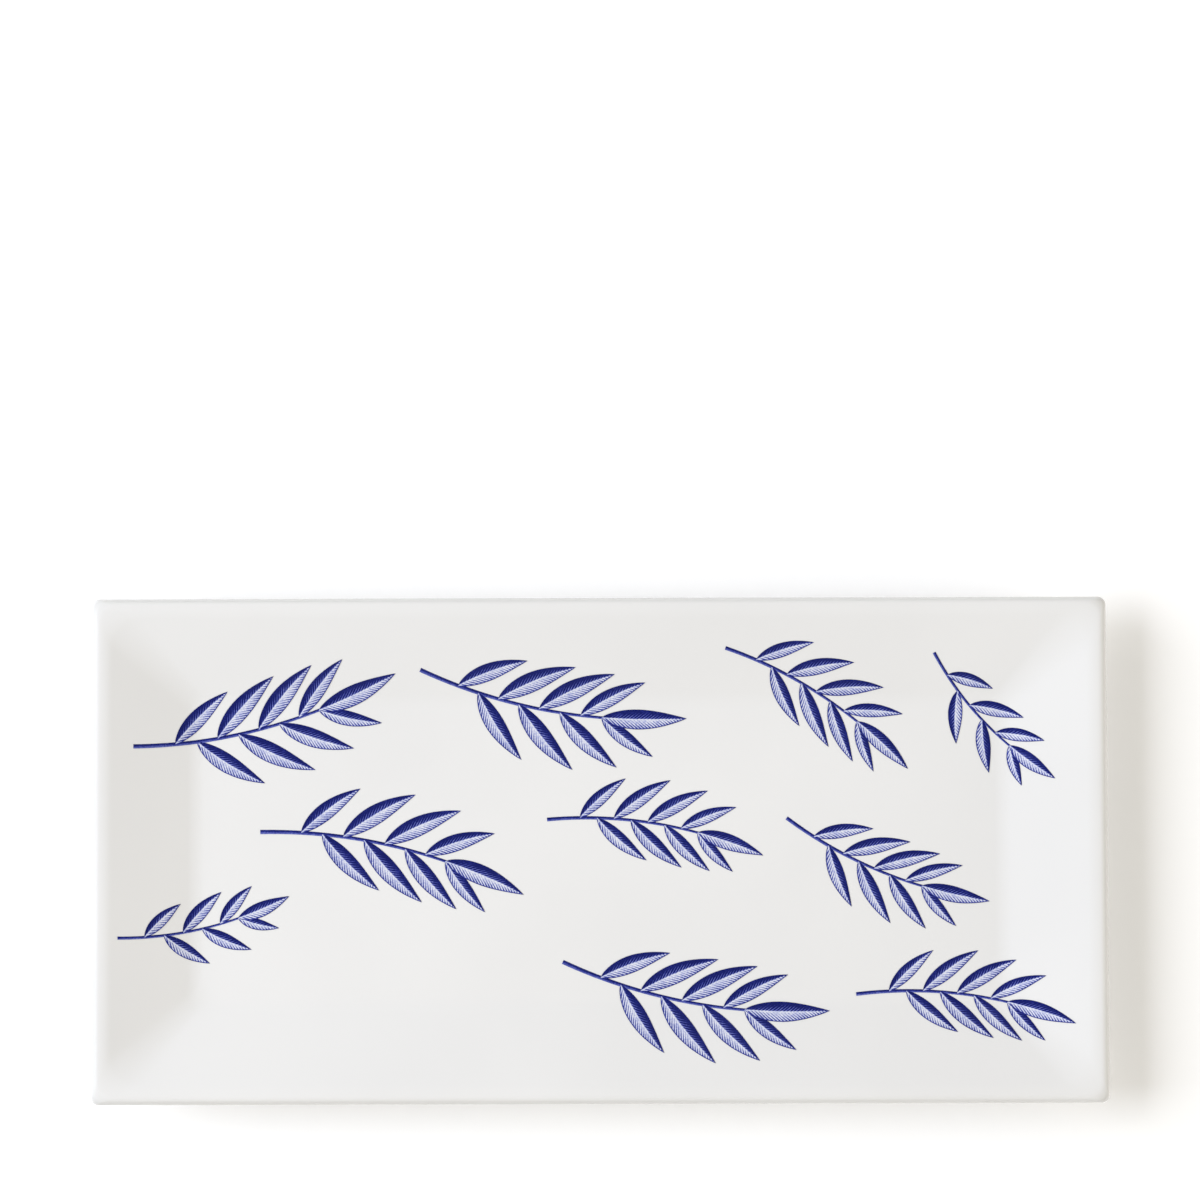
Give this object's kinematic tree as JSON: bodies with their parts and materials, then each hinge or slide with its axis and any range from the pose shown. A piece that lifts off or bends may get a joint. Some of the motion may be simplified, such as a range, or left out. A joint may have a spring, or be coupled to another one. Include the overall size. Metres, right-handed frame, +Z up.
{
  "type": "serving tray",
  "caption": "Rectangular white porcelain serving tray with a shallow flat well, sloping sides, a rolled rim, a foot ring and leaf sprigs printed in cobalt blue.",
  "frame": {"origin": "on the table, under the middle of the tray", "axes": "+X along the tray's length, +Y along its width, +Z up out of the well"},
  "size_m": [0.356, 0.177, 0.0201],
  "materials": {
    "white_porcelain": "gloss",
    "cobalt_print": "gloss"
  },
  "bodies": {
    "root": {"tray_body": "white_porcelain", "sprig_transfer_01": "cobalt_print", "sprig_transfer_02": "cobalt_print", "sprig_transfer_03": "cobalt_print", "sprig_transfer_04": "cobalt_print", "sprig_transfer_05": "cobalt_print", "sprig_transfer_06": "cobalt_print", "sprig_transfer_07": "cobalt_print", "sprig_transfer_08": "cobalt_print", "sprig_transfer_09": "cobalt_print", "sprig_transfer_10": "cobalt_print"}
  },
  "joints": []
}
